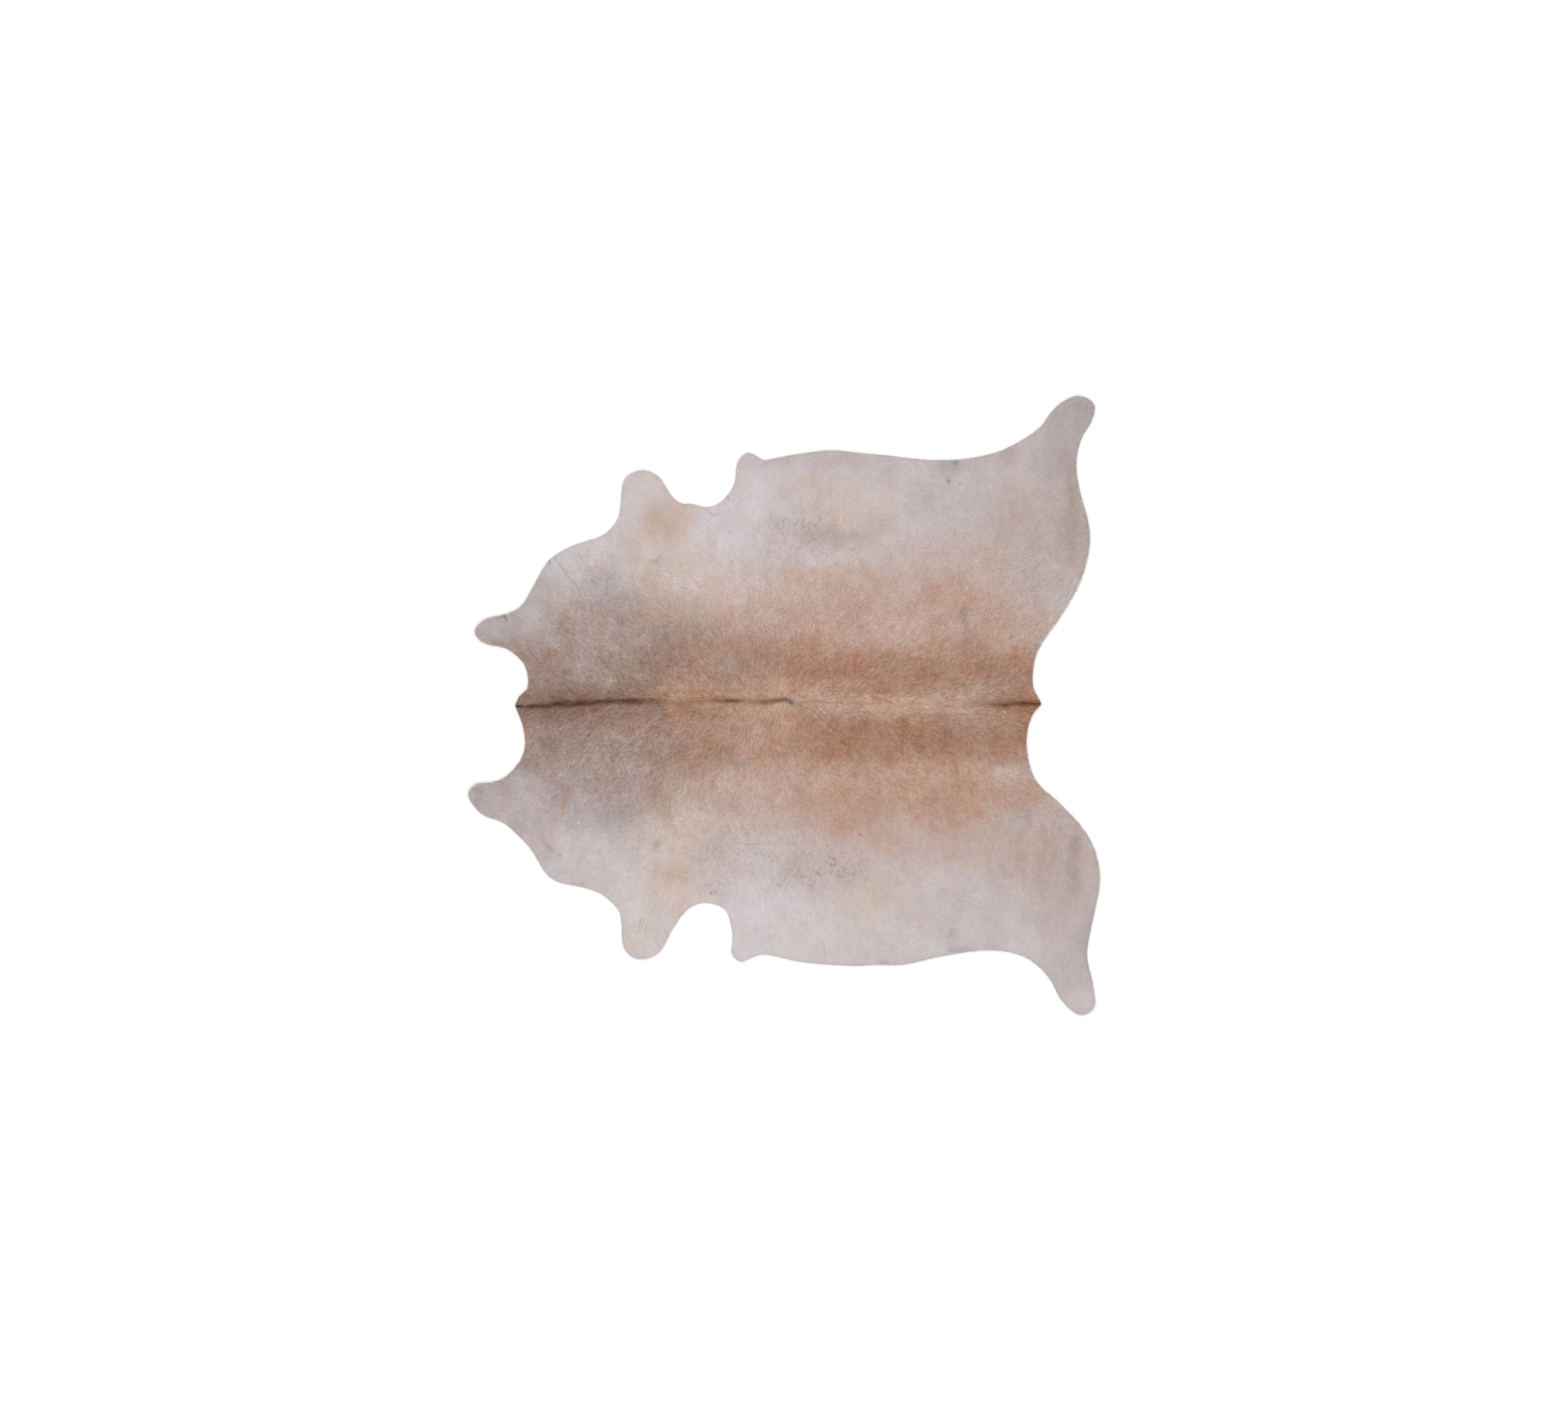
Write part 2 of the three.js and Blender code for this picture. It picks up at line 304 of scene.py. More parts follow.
# Those on the left side
LEFT_SPOTS = [
    ("cheek band", -104, -32, 1.8, 5, "slate", 75, -8),
    ("jaw", -85, -32, 5, 7, "ash", 50),
    ("jaw rim", -91, -42, 3, 3, "slate", 45),
    ("neck brown", -80, -12, 9, 6, "cocoa", 50),
    ("neck pale", -77, -25, 13, 7, "ash", 38),
    ("shoulder low", -70, -34, 7, 5, "haze", 42),
    ("shoulder inner", -50, -7, 12, 3.5, "saddle", 45),
    ("shoulder edge", -57, -42, 9, 3.5, "mauve", 45),
    ("shoulder warm", -43, -35, 10, 4, "tan", 30),
    ("nape light", -65, -10, 10, 6, "dusk", 55),
    ("yellow streak", -75, -30, 1.2, 5, "tan", 35, 10),
    ("shoulder grey", -60, -37, 7, 4, "slate", 60),
    ("shoulder brown", -42, -28, 6, 5, "hazel", 45),
    # Painted shade in and beside the neck crease
    ("crease shade", -83, -45, 3.5, 1.6, "ash", 70, -50),
    ("crease shade low", -79, -49, 3, 1.6, "ash", 60, -42),
    ("crease side", -84, -49, 6, 6, "ash", 60),
    ("neck edge", -70, -50, 15, 9, "pearl", 30),
    ("foreleg inner", -39, -58, 6.5, 5, "fawn", 52),
    ("foreleg outer", -37, -67, 4, 5, "peach", 50),
    ("foreleg front", -52, -64, 5, 9, "pearl", 60),
    ("foreleg tip", -48, -80, 6, 6, "cream", 80),
    ("brisket", -37, -43, 14, 5, "beige", 60),
    ("rib pale", -20, -37, 13, 4, "sand", 62),
    ("rib light", -5, -48, 8, 4.5, "cream", 55),
    ("arm wash", -24, -57, 7, 5, "lilac", 50),
    ("foreleg wash", -46, -68, 10, 19, "cream", 45),
    ("foreleg dot", -43.5, -47.5, 1.3, 1.2, "mauve", 80),
    ("brisket mottle", -19, -47, 10, 5, "haze", 30),
    ("belly pale", -7, -72, 14, 13, "pearl", 40),
    ("ribs front", -17, -30, 13, 7, "blush", 70),
    ("ribs front grey", -20, -31, 6, 5, "mauve", 30),
    ("withers dark", -24, -15, 8, 5, "hazel", 50),
    ("withers front", -43, -13, 9, 6, "dusk", 45),
    ("shoulder band", -53, -14.5, 14, 3, "dusk", 35),
    ("shoulder pale", -55, -30, 5, 5.5, "mauve", 40),
    ("withers light", -9, -9, 10, 5, "tan", 50),
    ("chine light", 2, -15.5, 10, 5.5, "fawn", 75),
    ("chine rear", 7, -7.5, 5, 3, "fawn", 50),
    ("rib inner", 1, -21.5, 6, 6, "blush", 60),
    ("saddle deep", 16, -14, 10, 5, "rust", 35),
    ("saddle mid", 38, -15, 4, 4, "rust", 45),
    ("saddle rear", 52, -12, 10, 5, "rust", 45),
    ("croup", 80, -9, 8, 6, "rust", 70),
    ("saddle inner", 35, -6.5, 19, 3.6, "rust", 50),
    ("haunch grey rear", 86, -28, 5, 7, "hazel", 50),
    ("thigh shade", 56, -47, 16, 8, "greige", 40),
    ("croup grey", 70, -9, 12, 5, "cocoa", 40),
    ("haunch pale", 77, -22, 5, 3, "greige", 35),
    ("haunch grey", 75, -38, 9, 5, "haze", 60),
    ("hip mark", 60.5, -26, 1.2, 3, "dusk", 40),
    ("withers grey", -16, -18.5, 3.5, 2.2, "taupe", 60),
    ("withers pale", -18, -22, 4, 2, "mauve", 50),
    ("withers streak", -7, -16.8, 4, 1.2, "clay", 60),
    ("saddle gap", 42, -18, 4, 3, "fawn", 60),
    ("rib warm", 20, -33, 15, 9, "fawn", 75),
    ("rib warm pale", 29, -36, 4, 3, "blush", 40),
    ("rib warm low", 18, -42, 5, 4, "fawn", 35),
    ("haunch warm", 56, -32, 18, 9, "fawn", 80, -6),
    ("haunch deep", 56, -29, 12, 8.5, "clay", 50),
    ("haunch front", 42, -30, 8, 5, "tan", 40),
    ("rib shade", 35, -28, 6, 4.5, "clay", 40),
    ("rump edge", 85, -27, 5, 6, "fawn", 35),
    ("croup side", 74, -15.5, 11, 4.5, "saddle", 65),
    ("haunch rear", 79, -31, 7, 5, "clay", 40),
    ("hip grey", 65, -30, 5, 6, "tan", 55),
    ("croup rear", 86.5, -17, 3, 10, "taupe", 38),
    # Darker along a shallow hollow in the skin
    ("smear", 83.5, -38.5, 1, 2.2, "cocoa", 35, -10),
    ("belly pink", 40, -46, 20, 5, "blush", 60),
    ("belly shade", 13, -56.5, 18, 7.5, "mauve", 30),
    ("rump", 90, -55, 6, 6, "greige", 60),
    # A darker band along the rump fold: painted shade in the fold
    ("rump band", 98.5, -56, 2, 10, "taupe", 70),
    ("belly cream", 28, -65, 9, 4, "beige", 50),
    ("thigh cream", 79, -66, 7, 8, "beige", 50),
    ("thigh pale", 62, -70, 18, 10, "lilac", 80),
    ("belly edge", 25, -79, 26, 8, "cream", 50),
    ("purple spot", 58.5, -83, 4, 1.6, "smudge", 35),
    ("purple tail", 57, -78, 1.6, 2.5, "smudge", 30),
    ("leg light", 80, -80, 6, 5, "pearl", 45),
    ("leg shade", 85, -85, 3, 3.5, "haze", 50),
    ("flank rim", 49, -83, 5, 3, "pearl", 40),
    ("hoof", 104, -79, 3.5, 9, "slate", 50),
    ("hock", 92, -83, 5, 7, "lilac", 55),
    ("hoof light", 102, -100, 5, 4, "pearl", 45),
    ("leg rim", 103.5, -66, 2.5, 9, "ash", 55),
]

# Paler and darker strips beside the line down the back
BACK_STRIPS = [
    ("nape brown", -78, 0, 20, 5.7, "bister", 88),
    ("shoulder brown", -54, 0, 17, 5.8, "bister", 72),
    ("withers orange", -35, -1.2, 5, 3.5, "amber", 55),
    ("chine warm", -22, 3, 24, 2.6, "amber", 60),
    ("whorl", -3, -2.2, 11, 3.5, "amber", 45),
    ("whorl front", -8.5, -1.4, 3.5, 1.8, "tan", 40),
    ("loin pale right", 36, 2.3, 20, 1.3, "tan", 50),
    ("loin pale left", 38, -1, 26, 1.2, "tan", 60),
    ("rump pale right", 55, 2.2, 10, 1.8, "fawn", 40),
    ("croup warm", 79, 0.4, 13, 4.5, "saddle", 85),
    ("croup end", 85, 0, 5, 3.5, "rust", 60),
    ("neck rim", -90.5, 0, 3, 5, "bister", 55),
    ("neck rim left", -90.5, -10, 3, 7, "hazel", 50),
    ("loin pale front", 21, 0.4, 15, 3, "tan", 60),
    ("chine left", -24, -2.2, 12, 2.2, "rust", 35),
    ("croup mark", 80, 4.5, 1, 3, "saddle", 50),
    ("loin grey", 63.5, 0, 3, 2.8, "dusk", 35),
]

# Where darker flecks of hair lie among paler ones
MOTTLES = [
    ("right shoulder", -62, 33, 16, 10, "dusk", 40),
    ("right neck", -63, 44, 6, 4, "dusk", 40),
    ("left shoulder", -62, -30, 16, 10, "dusk", 42),
    ("right belly", 8, 58, 14, 7, "cocoa", 42),
    ("right flank", 0, 63, 9, 5, "taupe", 50),
    ("left brisket", -20, -48, 12, 8, "slate", 60),
    ("left arm", -23, -62, 5, 6, "slate", 55),
    ("left belly", 8, -56, 15, 6, "cocoa", 58, 20),
    ("left belly rear", 20, -56, 8, 5, "dusk", 50),
    ("left haunch", 50, -46, 16, 8, "fawn", 35),
    ("right rib", 10, 42, 18, 6, "clay", 30),
    ("left rib", 15, -42, 14, 5, "clay", 40),
    ("right rump", 90, 55, 10, 16, "cocoa", 25),
    ("left rump", 90, -50, 10, 16, "cocoa", 25),
]

# The dark line down the back, from the neck to the tail
BACK_LINE = [
    # x, y, half_width, colour, strength
    (-93, -0.2, 0.5, "umber", 70),
    (-87, -0.3, 0.7, "umber", 75),
    (-81, -0.1, 1, "umber", 85),
    (-76, 0.5, 1.2, "umber", 72),
    (-70, 0.8, 1, "umber", 95),
    (-64, 1, 0.9, "umber", 70),
    (-58, 1.2, 1, "umber", 58),
    (-51, 1.4, 1.2, "umber", 70),
    (-45, 1.5, 1, "umber", 35),
    (-40, 1.2, 1, "rust", 30),
    (-35, 0.6, 1.4, "rust", 80),
    (-30, 1.3, 1.1, "rust", 60),
    (-25, 1.6, 1.2, "rust", 70),
    (-19.5, 1.4, 0.9, "umber", 48),
    (-10, 1.3, 0.8, "rust", 70),
    (-4, 1.5, 0.9, "umber", 40),
    (0, 1.9, 0.7, "ink", 65),
    (2.5, 1.3, 0.9, "ink", 75),
    (4.2, 0.8, 0.7, "dusk", 50),
    (7, 1.4, 0.3, "rust", 65),
    (15, 1.2, 0.3, "rust", 40),
    (30, 0.6, 0.3, "clay", 45),
    (60, 0.3, 0.3, "clay", 20),
    (68, 0.4, 1, "rust", 45),
    (74, 0.4, 1.1, "umber", 45),
    (79, 0.5, 1, "umber", 70),
    (84, 0.6, 0.9, "umber", 62),
    (89, 0.6, 0.6, "umber", 95),
]

# Thin lines and dots in the coat: creases, scratches, nicks in the rim and
# flecks on the right side
RIGHT_MARKS = [
    # name, x0, y0, x1, y1, half_width, colour, strength
    # Dark lines along the neck creases, and the neck line along the second crease: painted shade
    # in the creases
    ("neck crease", -78.5, 50.5, -73, 43.5, 0.22, "dusk", 50),
    ("nape streak", -87.5, 13.7, -78, 12.6, 0.35, "saddle", 40),
    ("nape streak", -86.8, 11.9, -74, 11.3, 0.35, "bister", 35),
    ("neck crease", -73, 43.5, -70, 39.8, 0.26, "bister", 50),
    ("neck crease", -70, 39.8, -69.3, 37, 0.3, "dusk", 45),
    ("neck crease", -69.3, 37, -68, 30, 1, "clay", 22),
    ("neck line", -70.5, 51.5, -66.8, 47.8, 0.22, "slate", 60),
    ("neck arc", -76, 34.5, -75.7, 31.2, 0.26, "clay", 60),
    ("neck arc", -75.7, 31.2, -75, 30, 0.26, "clay", 50),
    ("jowl stain", -81.2, 35, -80, 30.5, 1.4, "clay", 22),
    ("neck rim nick", -80.3, 50, -80, 48.4, 0.18, "ink", 75),
    ("neck rim shade", -83.8, 45, -84.2, 40.5, 0.6, "slate", 45),
    ("cheek nick", -95.8, 30.9, -94.8, 29, 0.26, "umber", 70),
    ("cheek line", -94.8, 29, -93.4, 27.5, 0.2, "slate", 50),
    ("nape line", -65, 42, -63.4, 41, 0.18, "bister", 55),
    ("neck spot", -76.7, 41.7, -76.6, 41.7, 0.3, "dusk", 60),
    ("foreleg smudge", -45.5, 49.3, -43.6, 49, 0.45, "dusk", 35),
    ("foreleg hook", -43.6, 49, -42, 51.3, 0.26, "bister", 45),
    ("brisket stain", -35.6, 47.8, -34.6, 48.4, 0.3, "clay", 70),
    ("brisket line", -34.3, 48.7, -32.5, 48.7, 0.2, "clay", 40),
    ("brisket scratch", -31.1, 43.7, -28.7, 40.5, 0.18, "bister", 55),
    ("brisket fleck", -24.7, 50.9, -24.6, 50.9, 0.35, "clay", 75),
    ("arm flecks", -26.2, 66.9, -24.8, 65.7, 0.22, "slate", 80),
    ("arm flecks", -24.7, 65, -22.9, 65.3, 0.24, "smudge", 85),
    ("arm flecks", -26.2, 63, -25.2, 64, 0.24, "slate", 75),
    ("arm rim nick", -19.3, 71.6, -18.7, 70.2, 0.16, "ink", 75),
    ("arm dot", -18.8, 59.3, -18.7, 59.3, 0.26, "ink", 55),
    ("arm dot", -22, 60, -21.9, 60, 0.22, "ink", 45),
    ("rib dot", -17.8, 49.2, -17.7, 49.2, 0.26, "ink", 60),
    ("rib dot", -18, 45.5, -17.9, 45.5, 0.24, "ink", 40),
    ("rib dot", -8.3, 43, -8.2, 43, 0.26, "umber", 50),
    ("rib dot", -10.7, 62.5, -10.6, 62.5, 0.3, "slate", 70),
    ("rib dot", -34, 40.2, -33.9, 40.2, 0.24, "umber", 45),
    ("rib blot", 17.4, 48.4, 18.2, 48, 0.6, "taupe", 70),
    ("rib fleck", 28, 69, 28.1, 69, 0.4, "dusk", 45),
    ("rib stain", 26.5, 48.5, 28, 44, 1.2, "clay", 28),
    ("flank stain", 10.5, 80.5, 10.5, 76.5, 1.1, "tan", 35),
    ("thigh ink", 58.5, 82.9, 58.8, 82.7, 0.7, "ink", 65),
    ("thigh ink", 56.2, 76.7, 56.3, 76.5, 0.48, "ink", 75),
    ("thigh ink dot", 60, 75.7, 60.2, 75.8, 0.34, "ink", 65),
    ("thigh ink band", 52, 82, 58, 82.2, 1, "smudge", 30),
    ("thigh brown", 74.5, 85.3, 77.5, 86.4, 0.8, "fawn", 45),
    ("thigh rim brown", 64, 84.6, 70, 85.6, 0.4, "clay", 45),
    ("rump nick", 84, 92.2, 83.8, 90.5, 0.22, "dusk", 55),
    ("rump line", 86.6, 73.5, 93, 69.7, 0.4, "taupe", 40),
]

# Those on the left side
LEFT_MARKS = [
    # Dark lines along the neck crease: painted shade in the crease
    ("neck crease", -83.2, -38.5, -82.6, -44.5, 0.5, "smudge", 45),
    ("neck crease", -82.6, -44.5, -80.6, -47.8, 0.46, "taupe", 70),
    ("neck crease", -80.6, -47.8, -76.6, -51.3, 0.34, "dusk", 75),
    ("neck crease shade", -81.8, -47, -79.5, -49.8, 0.9, "slate", 40),
    ("cheek light", -94.5, -35.2, -86.2, -41.2, 0.16, "pearl", 60),
    ("cheek light", -92.5, -38.5, -85.5, -42.5, 0.14, "pearl", 50),
    ("cheek light", -98.5, -34, -93, -38.5, 0.16, "pearl", 45),
    ("cheek dot", -96.1, -35.9, -96, -35.9, 0.26, "ink", 55),
    ("rim nick", -84.2, -51.6, -83, -50.3, 0.22, "slate", 80),
    ("rim nick", -72.5, -60.6, -71.2, -61.2, 0.3, "slate", 60),
    ("neck stain", -75.6, -34.5, -73.2, -28.2, 0.9, "bister", 28),
    ("neck stain", -75.8, -37, -75.5, -35.8, 0.3, "bister", 45),
    ("shoulder stain", -63.7, -22.5, -64, -30, 0.6, "clay", 22),
    ("neck line", -69, -50.3, -66.4, -47.4, 0.22, "taupe", 50),
    ("neck line", -68, -60, -64, -57.5, 0.16, "ash", 60),
    ("foreleg spot", -43.8, -47.6, -43.4, -47.4, 0.9, "smudge", 55),
    ("foreleg spot", -44.7, -63.8, -44.4, -63.7, 0.5, "taupe", 60),
    # Dark wrinkle lines, the pale lines among them and the crease at the rim: painted shade and
    # painted highlight of small folds
    ("wrinkle", -48.7, -72.2, -49.9, -77.5, 0.24, "cocoa", 70),
    ("wrinkle", -47.8, -72.8, -48.6, -76.2, 0.22, "cocoa", 60),
    ("wrinkle", -47, -74, -47.5, -78.8, 0.22, "cocoa", 55),
    ("wrinkle light", -48, -74.5, -48.2, -79, 0.2, "cream", 70),
    ("wrinkle tail", -50, -80, -52.2, -85.2, 0.18, "haze", 80),
    ("foreleg rim crease", -40.8, -76.8, -39.5, -79, 0.26, "taupe", 70),
    ("arm stain", -18.6, -72.2, -18, -73.8, 0.6, "fawn", 40),
    ("arm flecks", -25.2, -63.8, -24, -64.6, 0.28, "ink", 50),
    ("arm flecks", -23.6, -63.4, -23.1, -64, 0.28, "ink", 45),
    ("arm flecks", -30, -61.8, -29.6, -62.8, 0.3, "slate", 60),
    ("arm dot", -33.6, -57, -33.5, -57, 0.22, "umber", 55),
    ("arm dot", -34.6, -45, -34.5, -45, 0.24, "umber", 45),
    ("rib scratch", -16.5, -46.4, -13, -47.5, 0.18, "slate", 70),
    ("rib scratch", -13, -47.5, -3, -47.3, 0.18, "dusk", 62),
    ("rib scratch", 0.2, -47.4, 4.2, -47.2, 0.18, "dusk", 40),
    ("rib arc", -16.5, -42, -10.5, -40.3, 0.24, "clay", 35),
    ("rib line", -16.5, -57.5, -16, -64.5, 0.3, "tan", 35),
    ("rib dot", -9.5, -50.6, -9.4, -50.6, 0.26, "ink", 45),
    ("rib dot", -7.3, -51.2, -7, -51.3, 0.26, "ink", 45),
    ("rib dot", -5.2, -51.7, -5.1, -51.6, 0.3, "ink", 45),
    ("rib dot", 16.9, -52.4, 17.1, -52.5, 0.3, "ink", 85),
    ("rib dot", 25.8, -43.8, 26.2, -44.2, 0.36, "umber", 45),
    ("belly fleck", -8.3, -61.2, -8.3, -62.2, 0.2, "slate", 60),
    ("belly fleck", -8.3, -64.8, -8.2, -65.8, 0.34, "smudge", 45),
    ("belly fleck", -9, -75.7, -9.1, -76.8, 0.24, "slate", 60),
    ("belly blot", 6.2, -74.7, 7.6, -74.4, 0.7, "greige", 55),
    # Crease line: painted shade in the crease
    ("belly crease", 12.8, -80.8, 14.2, -85, 0.4, "ash", 60),
    ("belly rim blot", 33, -87.4, 35.2, -87.6, 0.8, "taupe", 55),
    # Crease line: painted shade in the crease
    ("flank crease", 45.8, -75.7, 50.4, -73.5, 0.4, "ash", 55),
    ("flank blot", 56.5, -79, 57.3, -77.4, 0.5, "taupe", 60),
    ("flank dot", 55.8, -81.2, 55.9, -81.2, 0.24, "ink", 50),
    ("flank violet", 56, -83.8, 62.5, -83.2, 0.45, "smudge", 60),
    ("thigh rim blot", 69, -82.2, 72, -82.4, 0.7, "taupe", 45),
    # Crease line: painted shade in the crease
    ("thigh crease", 81.3, -71.5, 82, -74.2, 0.3, "taupe", 55),
    ("thigh line", 80.8, -59, 81.2, -70, 0.3, "cream", 35),
]

# Soft creases in the lying skin
CREASES = [
    # name, x0, y0, x1, y1, half_width, height
    ("right neck crease", -77.5, 50, -72.5, 43.5, 0.6, -0.12),
    ("right neck crease low", -72.5, 43.5, -69.5, 36, 0.6, -0.09),
    ("right neck second", -70, 52, -65.5, 46.5, 0.8, -0.06),
    ("left neck crease", -84, -41, -82, -46, 0.6, -0.1),
    ("left neck crease low", -82, -46, -77.5, -50.5, 0.6, -0.1),
    ("right croup smear", 63, 21, 61, 33, 1, -0.1),
    ("left rump smear", 84.5, -32, 84, -42, 0.8, -0.08),
    ("right rump fold", 97, 52, 96.5, 80, 1.6, -0.1),
    ("left rump fold", 98.5, -48, 98, -68, 1.4, -0.09),
]

# Turns in the lie of the coat, in degrees at their middle
FLOW_TURNS = [
    # name, x, y, reach, turn
    ("right flank", 40, 78, 13, -70),
    ("left flank", 45, -79, 13, 70),
    ("right elbow", -30, 50, 16, 25),
    ("left elbow", -30, -50, 16, -25),
]


def bell(distance, reach):
    """1 at the middle, 0.37 at the reach and almost 0 at twice the reach."""
    return np.exp(-((distance / reach) ** 2))


def ramp(value, start, length):
    """0 up to the start, then rising evenly to 1."""
    return np.clip((value - start) / length, 0, 1)


def eased(t):
    """A rise from 0 to 1 with a soft start and a soft end."""
    return t * t * (3 - 2 * t)


def near_back(y):
    """1 on the middle of the back, falling to 0 towards the belly edges."""
    return bell(y, BACK_REACH)


def towards_back(pair, back):
    """The pair's number for the belly edge, with what the back adds to it."""
    return pair[0] + pair[1] * back


def gap_squared(x, y, x0, y0, x1, y1):
    """Squared distance from the straight line between two points."""
    dx, dy, ex, ey = x - x0, y - y0, x1 - x0, y1 - y0
    t = np.clip((dx * ex + dy * ey) / (ex * ex + ey * ey), 0, 1)
    return (dx - t * ex) ** 2 + (dy - t * ey) ** 2


def between(grid, i, k, fu, j, m, fv):
    """Numbers between rows i and k and columns j and m of the grid."""
    low = grid[i, j] * (1 - fu) + grid[k, j] * fu
    high = grid[i, m] * (1 - fu) + grid[k, m] * fu
    return low * (1 - fv) + high * fv


def lattice_noise(x, y, size, seed):
    """Smooth noise from about -1 to 1 with features of that size."""
    u, v = x / size, y / size
    table = np.random.default_rng(seed).uniform(-1, 1, (NOISE_TABLE, NOISE_TABLE))
    i, j = np.floor(u).astype(int), np.floor(v).astype(int)
    fu, fv = eased(u - i), eased(v - j)
    i, k, j, m = (n % NOISE_TABLE for n in (i, i + 1, j, j + 1))
    return between(table, i, k, fu, j, m, fv)


def noise(name, x, y):
    """The named noise, its layers added up."""
    total = 0
    for strength, size, seed, *finer in NOISES[name]:
        along, across = finer or (1, 1)
        total = total + strength * lattice_noise(x * along, y * across, size, seed)
    return total


def blended(colour, other, share):
    """The colour with that share of the other one in it."""
    share = share[..., None]
    return colour * (1 - share) + other * share


def paint(colour, x, y, rows, soft, ragged=0):
    """Lays each row's patch over the colour, with a soft and uneven edge."""
    uneven = ragged * noise("ragged rim", x, y) if ragged else 0
    x, y = x / CM, y / CM
    for _, cx, cy, half_long, half_wide, tone, strength, *turn in rows:
        a = math.radians(turn[0] if turn else 0)
        dx, dy = x - cx, y - cy
        along = (dx * math.cos(a) + dy * math.sin(a)) / half_long
        across = (dy * math.cos(a) - dx * math.sin(a)) / half_wide
        r = np.sqrt(along**2 + across**2) + uneven
        t = np.clip((1 + soft - r) / (2 * soft), 0, 1)
        share = strength * PERCENT * eased(t)
        colour = blended(colour, PALETTE[tone], share)
    return colour


def paint_back_line(colour, x, y):
    """The dark line down the back, broken up along the lie of the hair."""
    bend, broken = noise("line bend", x, y), 1 + noise("line breaks", x, y)
    x, y = x / CM, y / CM
    places, middles, halves, names, strengths = zip(*BACK_LINE)
    channels = zip(*(PALETTE[name] for name in names))
    tone = np.stack([np.interp(x, places, channel) for channel in channels], -1)
    middle = np.interp(x, places, middles) + bend
    share = LINE_GAIN * PERCENT * np.interp(x, places, strengths) * broken
    share = share * bell(y - middle, np.interp(x, places, halves))
    return blended(colour, tone, np.clip(share, 0, 1))


def coat_colour(x, y):
    """Colour of the coat at these places, in sRGB numbers from 0 to 255."""
    colour = np.zeros((len(x), 3)) + PALETTE["lilac"]
    wx, wy = x + noise("warp along", x, y), y + noise("warp across", x, y)
    colour = paint(colour, wx, wy, PATCHES, soft=0.55)
    wx, wy = x + noise("spot warp along", x, y), y + noise("spot warp across", x, y)
    colour = paint(colour, wx, wy, RIGHT_SPOTS + LEFT_SPOTS, soft=0.75, ragged=0.18)
    colour = paint(colour, x, y, BACK_STRIPS, soft=0.65, ragged=0.1)
    bend = noise("cloud bend", x, y)
    drawn_out = CLOUD_STRETCH * y
    cloud = noise("broad cloud", x + bend, drawn_out) + noise("cloud", x, drawn_out + bend)
    cloud = cloud + noise("fine cloud", x, y)
    warmth = noise("broad warmth", x, y) + noise("warmth", x + bend, y)
    strength = towards_back(CLOUD_STRENGTH, bell(y, CLOUD_REACH))
    tone = strength * cloud + noise("streaks", x, y) * bell(y, STREAK_REACH)
    return colour + tone[..., None] * TONE_SPREAD + (strength * warmth)[..., None] * WARMTH_SPREAD


def paint_mottles(colour, x, y):
    """Darker flecks over the coat, where the table has them."""
    share = ramp(noise("flecks", x, y), start=0.25, length=1 / 2.2)
    return blended(colour, paint(colour, x, y, MOTTLES, soft=0.8), share)


def paint_marks(colour, x, y):
    """The thin lines and dots over the coat."""
    x, y = x / CM, y / CM
    for _, x0, y0, x1, y1, half, tone, strength in RIGHT_MARKS + LEFT_MARKS:
        reach = MARK_REACH * half
        close_x = np.abs(x - (x0 + x1) / 2) < abs(x1 - x0) / 2 + reach
        close_y = np.abs(y - (y0 + y1) / 2) < abs(y1 - y0) / 2 + reach
        near = np.nonzero(close_x & close_y)[0]
        gap = gap_squared(x[near], y[near], x0, y0, x1, y1)
        share = strength * PERCENT * np.exp(-gap / half**2)
        colour[near] = blended(colour[near], PALETTE[tone], share)
    return colour


def linear(colour):
    """sRGB numbers from 0 to 255 as linear light from 0 to 1."""
    c = np.clip(np.asarray(colour, float) / 255, 0, 1)
    return np.where(c <= 0.04045, c / 12.92, ((c + 0.055) / 1.055) ** 2.4)


def field(lo, step, values):
    """A function that reads the grid at any place."""
    last = np.array(values.shape) - 1.001

    def at(x, y):
        u = np.clip((x - lo[0]) / step, 0, last[0])
        v = np.clip((y - lo[1]) / step, 0, last[1])
        i, j = u.astype(int), v.astype(int)
        return between(values, i, i + 1, u - i, j, j + 1, v - j)

    return at


def outline_of(node):
    """The edge loop round the node's underside, as points in order."""
    mesh = bmesh.new()
    mesh.from_mesh(node.data)
    mesh.transform(node.matrix_world)
    bmesh.ops.remove_doubles(mesh, verts=mesh.verts, dist=2e-6)
    mesh.normal_update()
    steep, down = 0.35, -0.5
    nexts = {}
    for edge in mesh.edges:
        slopes = sorted(f.normal.z for f in edge.link_faces)
        if len(slopes) == 2 and slopes[0] < down and abs(slopes[1]) < steep:
            a, b = edge.verts
            nexts.setdefault(a.index, []).append(b.index)
            nexts.setdefault(b.index, []).append(a.index)
    mesh.verts.ensure_lookup_table()
    loop, before = [min(nexts)], None
    while True:
        after = next(k for k in nexts[loop[-1]] if k != before)
        if after == loop[0]:
            break
        before = loop[-1]
        loop.append(after)
    points = np.array([mesh.verts[k].co[:2] for k in loop])
    mesh.free()
    ahead = np.roll(points, -1, axis=0)
    turn = points[:, 0] * ahead[:, 1] - points[:, 1] * ahead[:, 0]
    return points if turn.sum() > 0 else points[::-1]


def evenly_spaced(points, step):
    """The closed line with its points at equal steps."""
    ring = np.vstack([points, points[:1]])
    along = np.concatenate([[0], np.cumsum(np.linalg.norm(np.diff(ring, axis=0), axis=1))])
    places = np.linspace(0, along[-1], int(along[-1] / step), endpoint=False)
    return np.stack([np.interp(places, along, line) for line in ring.T], -1)


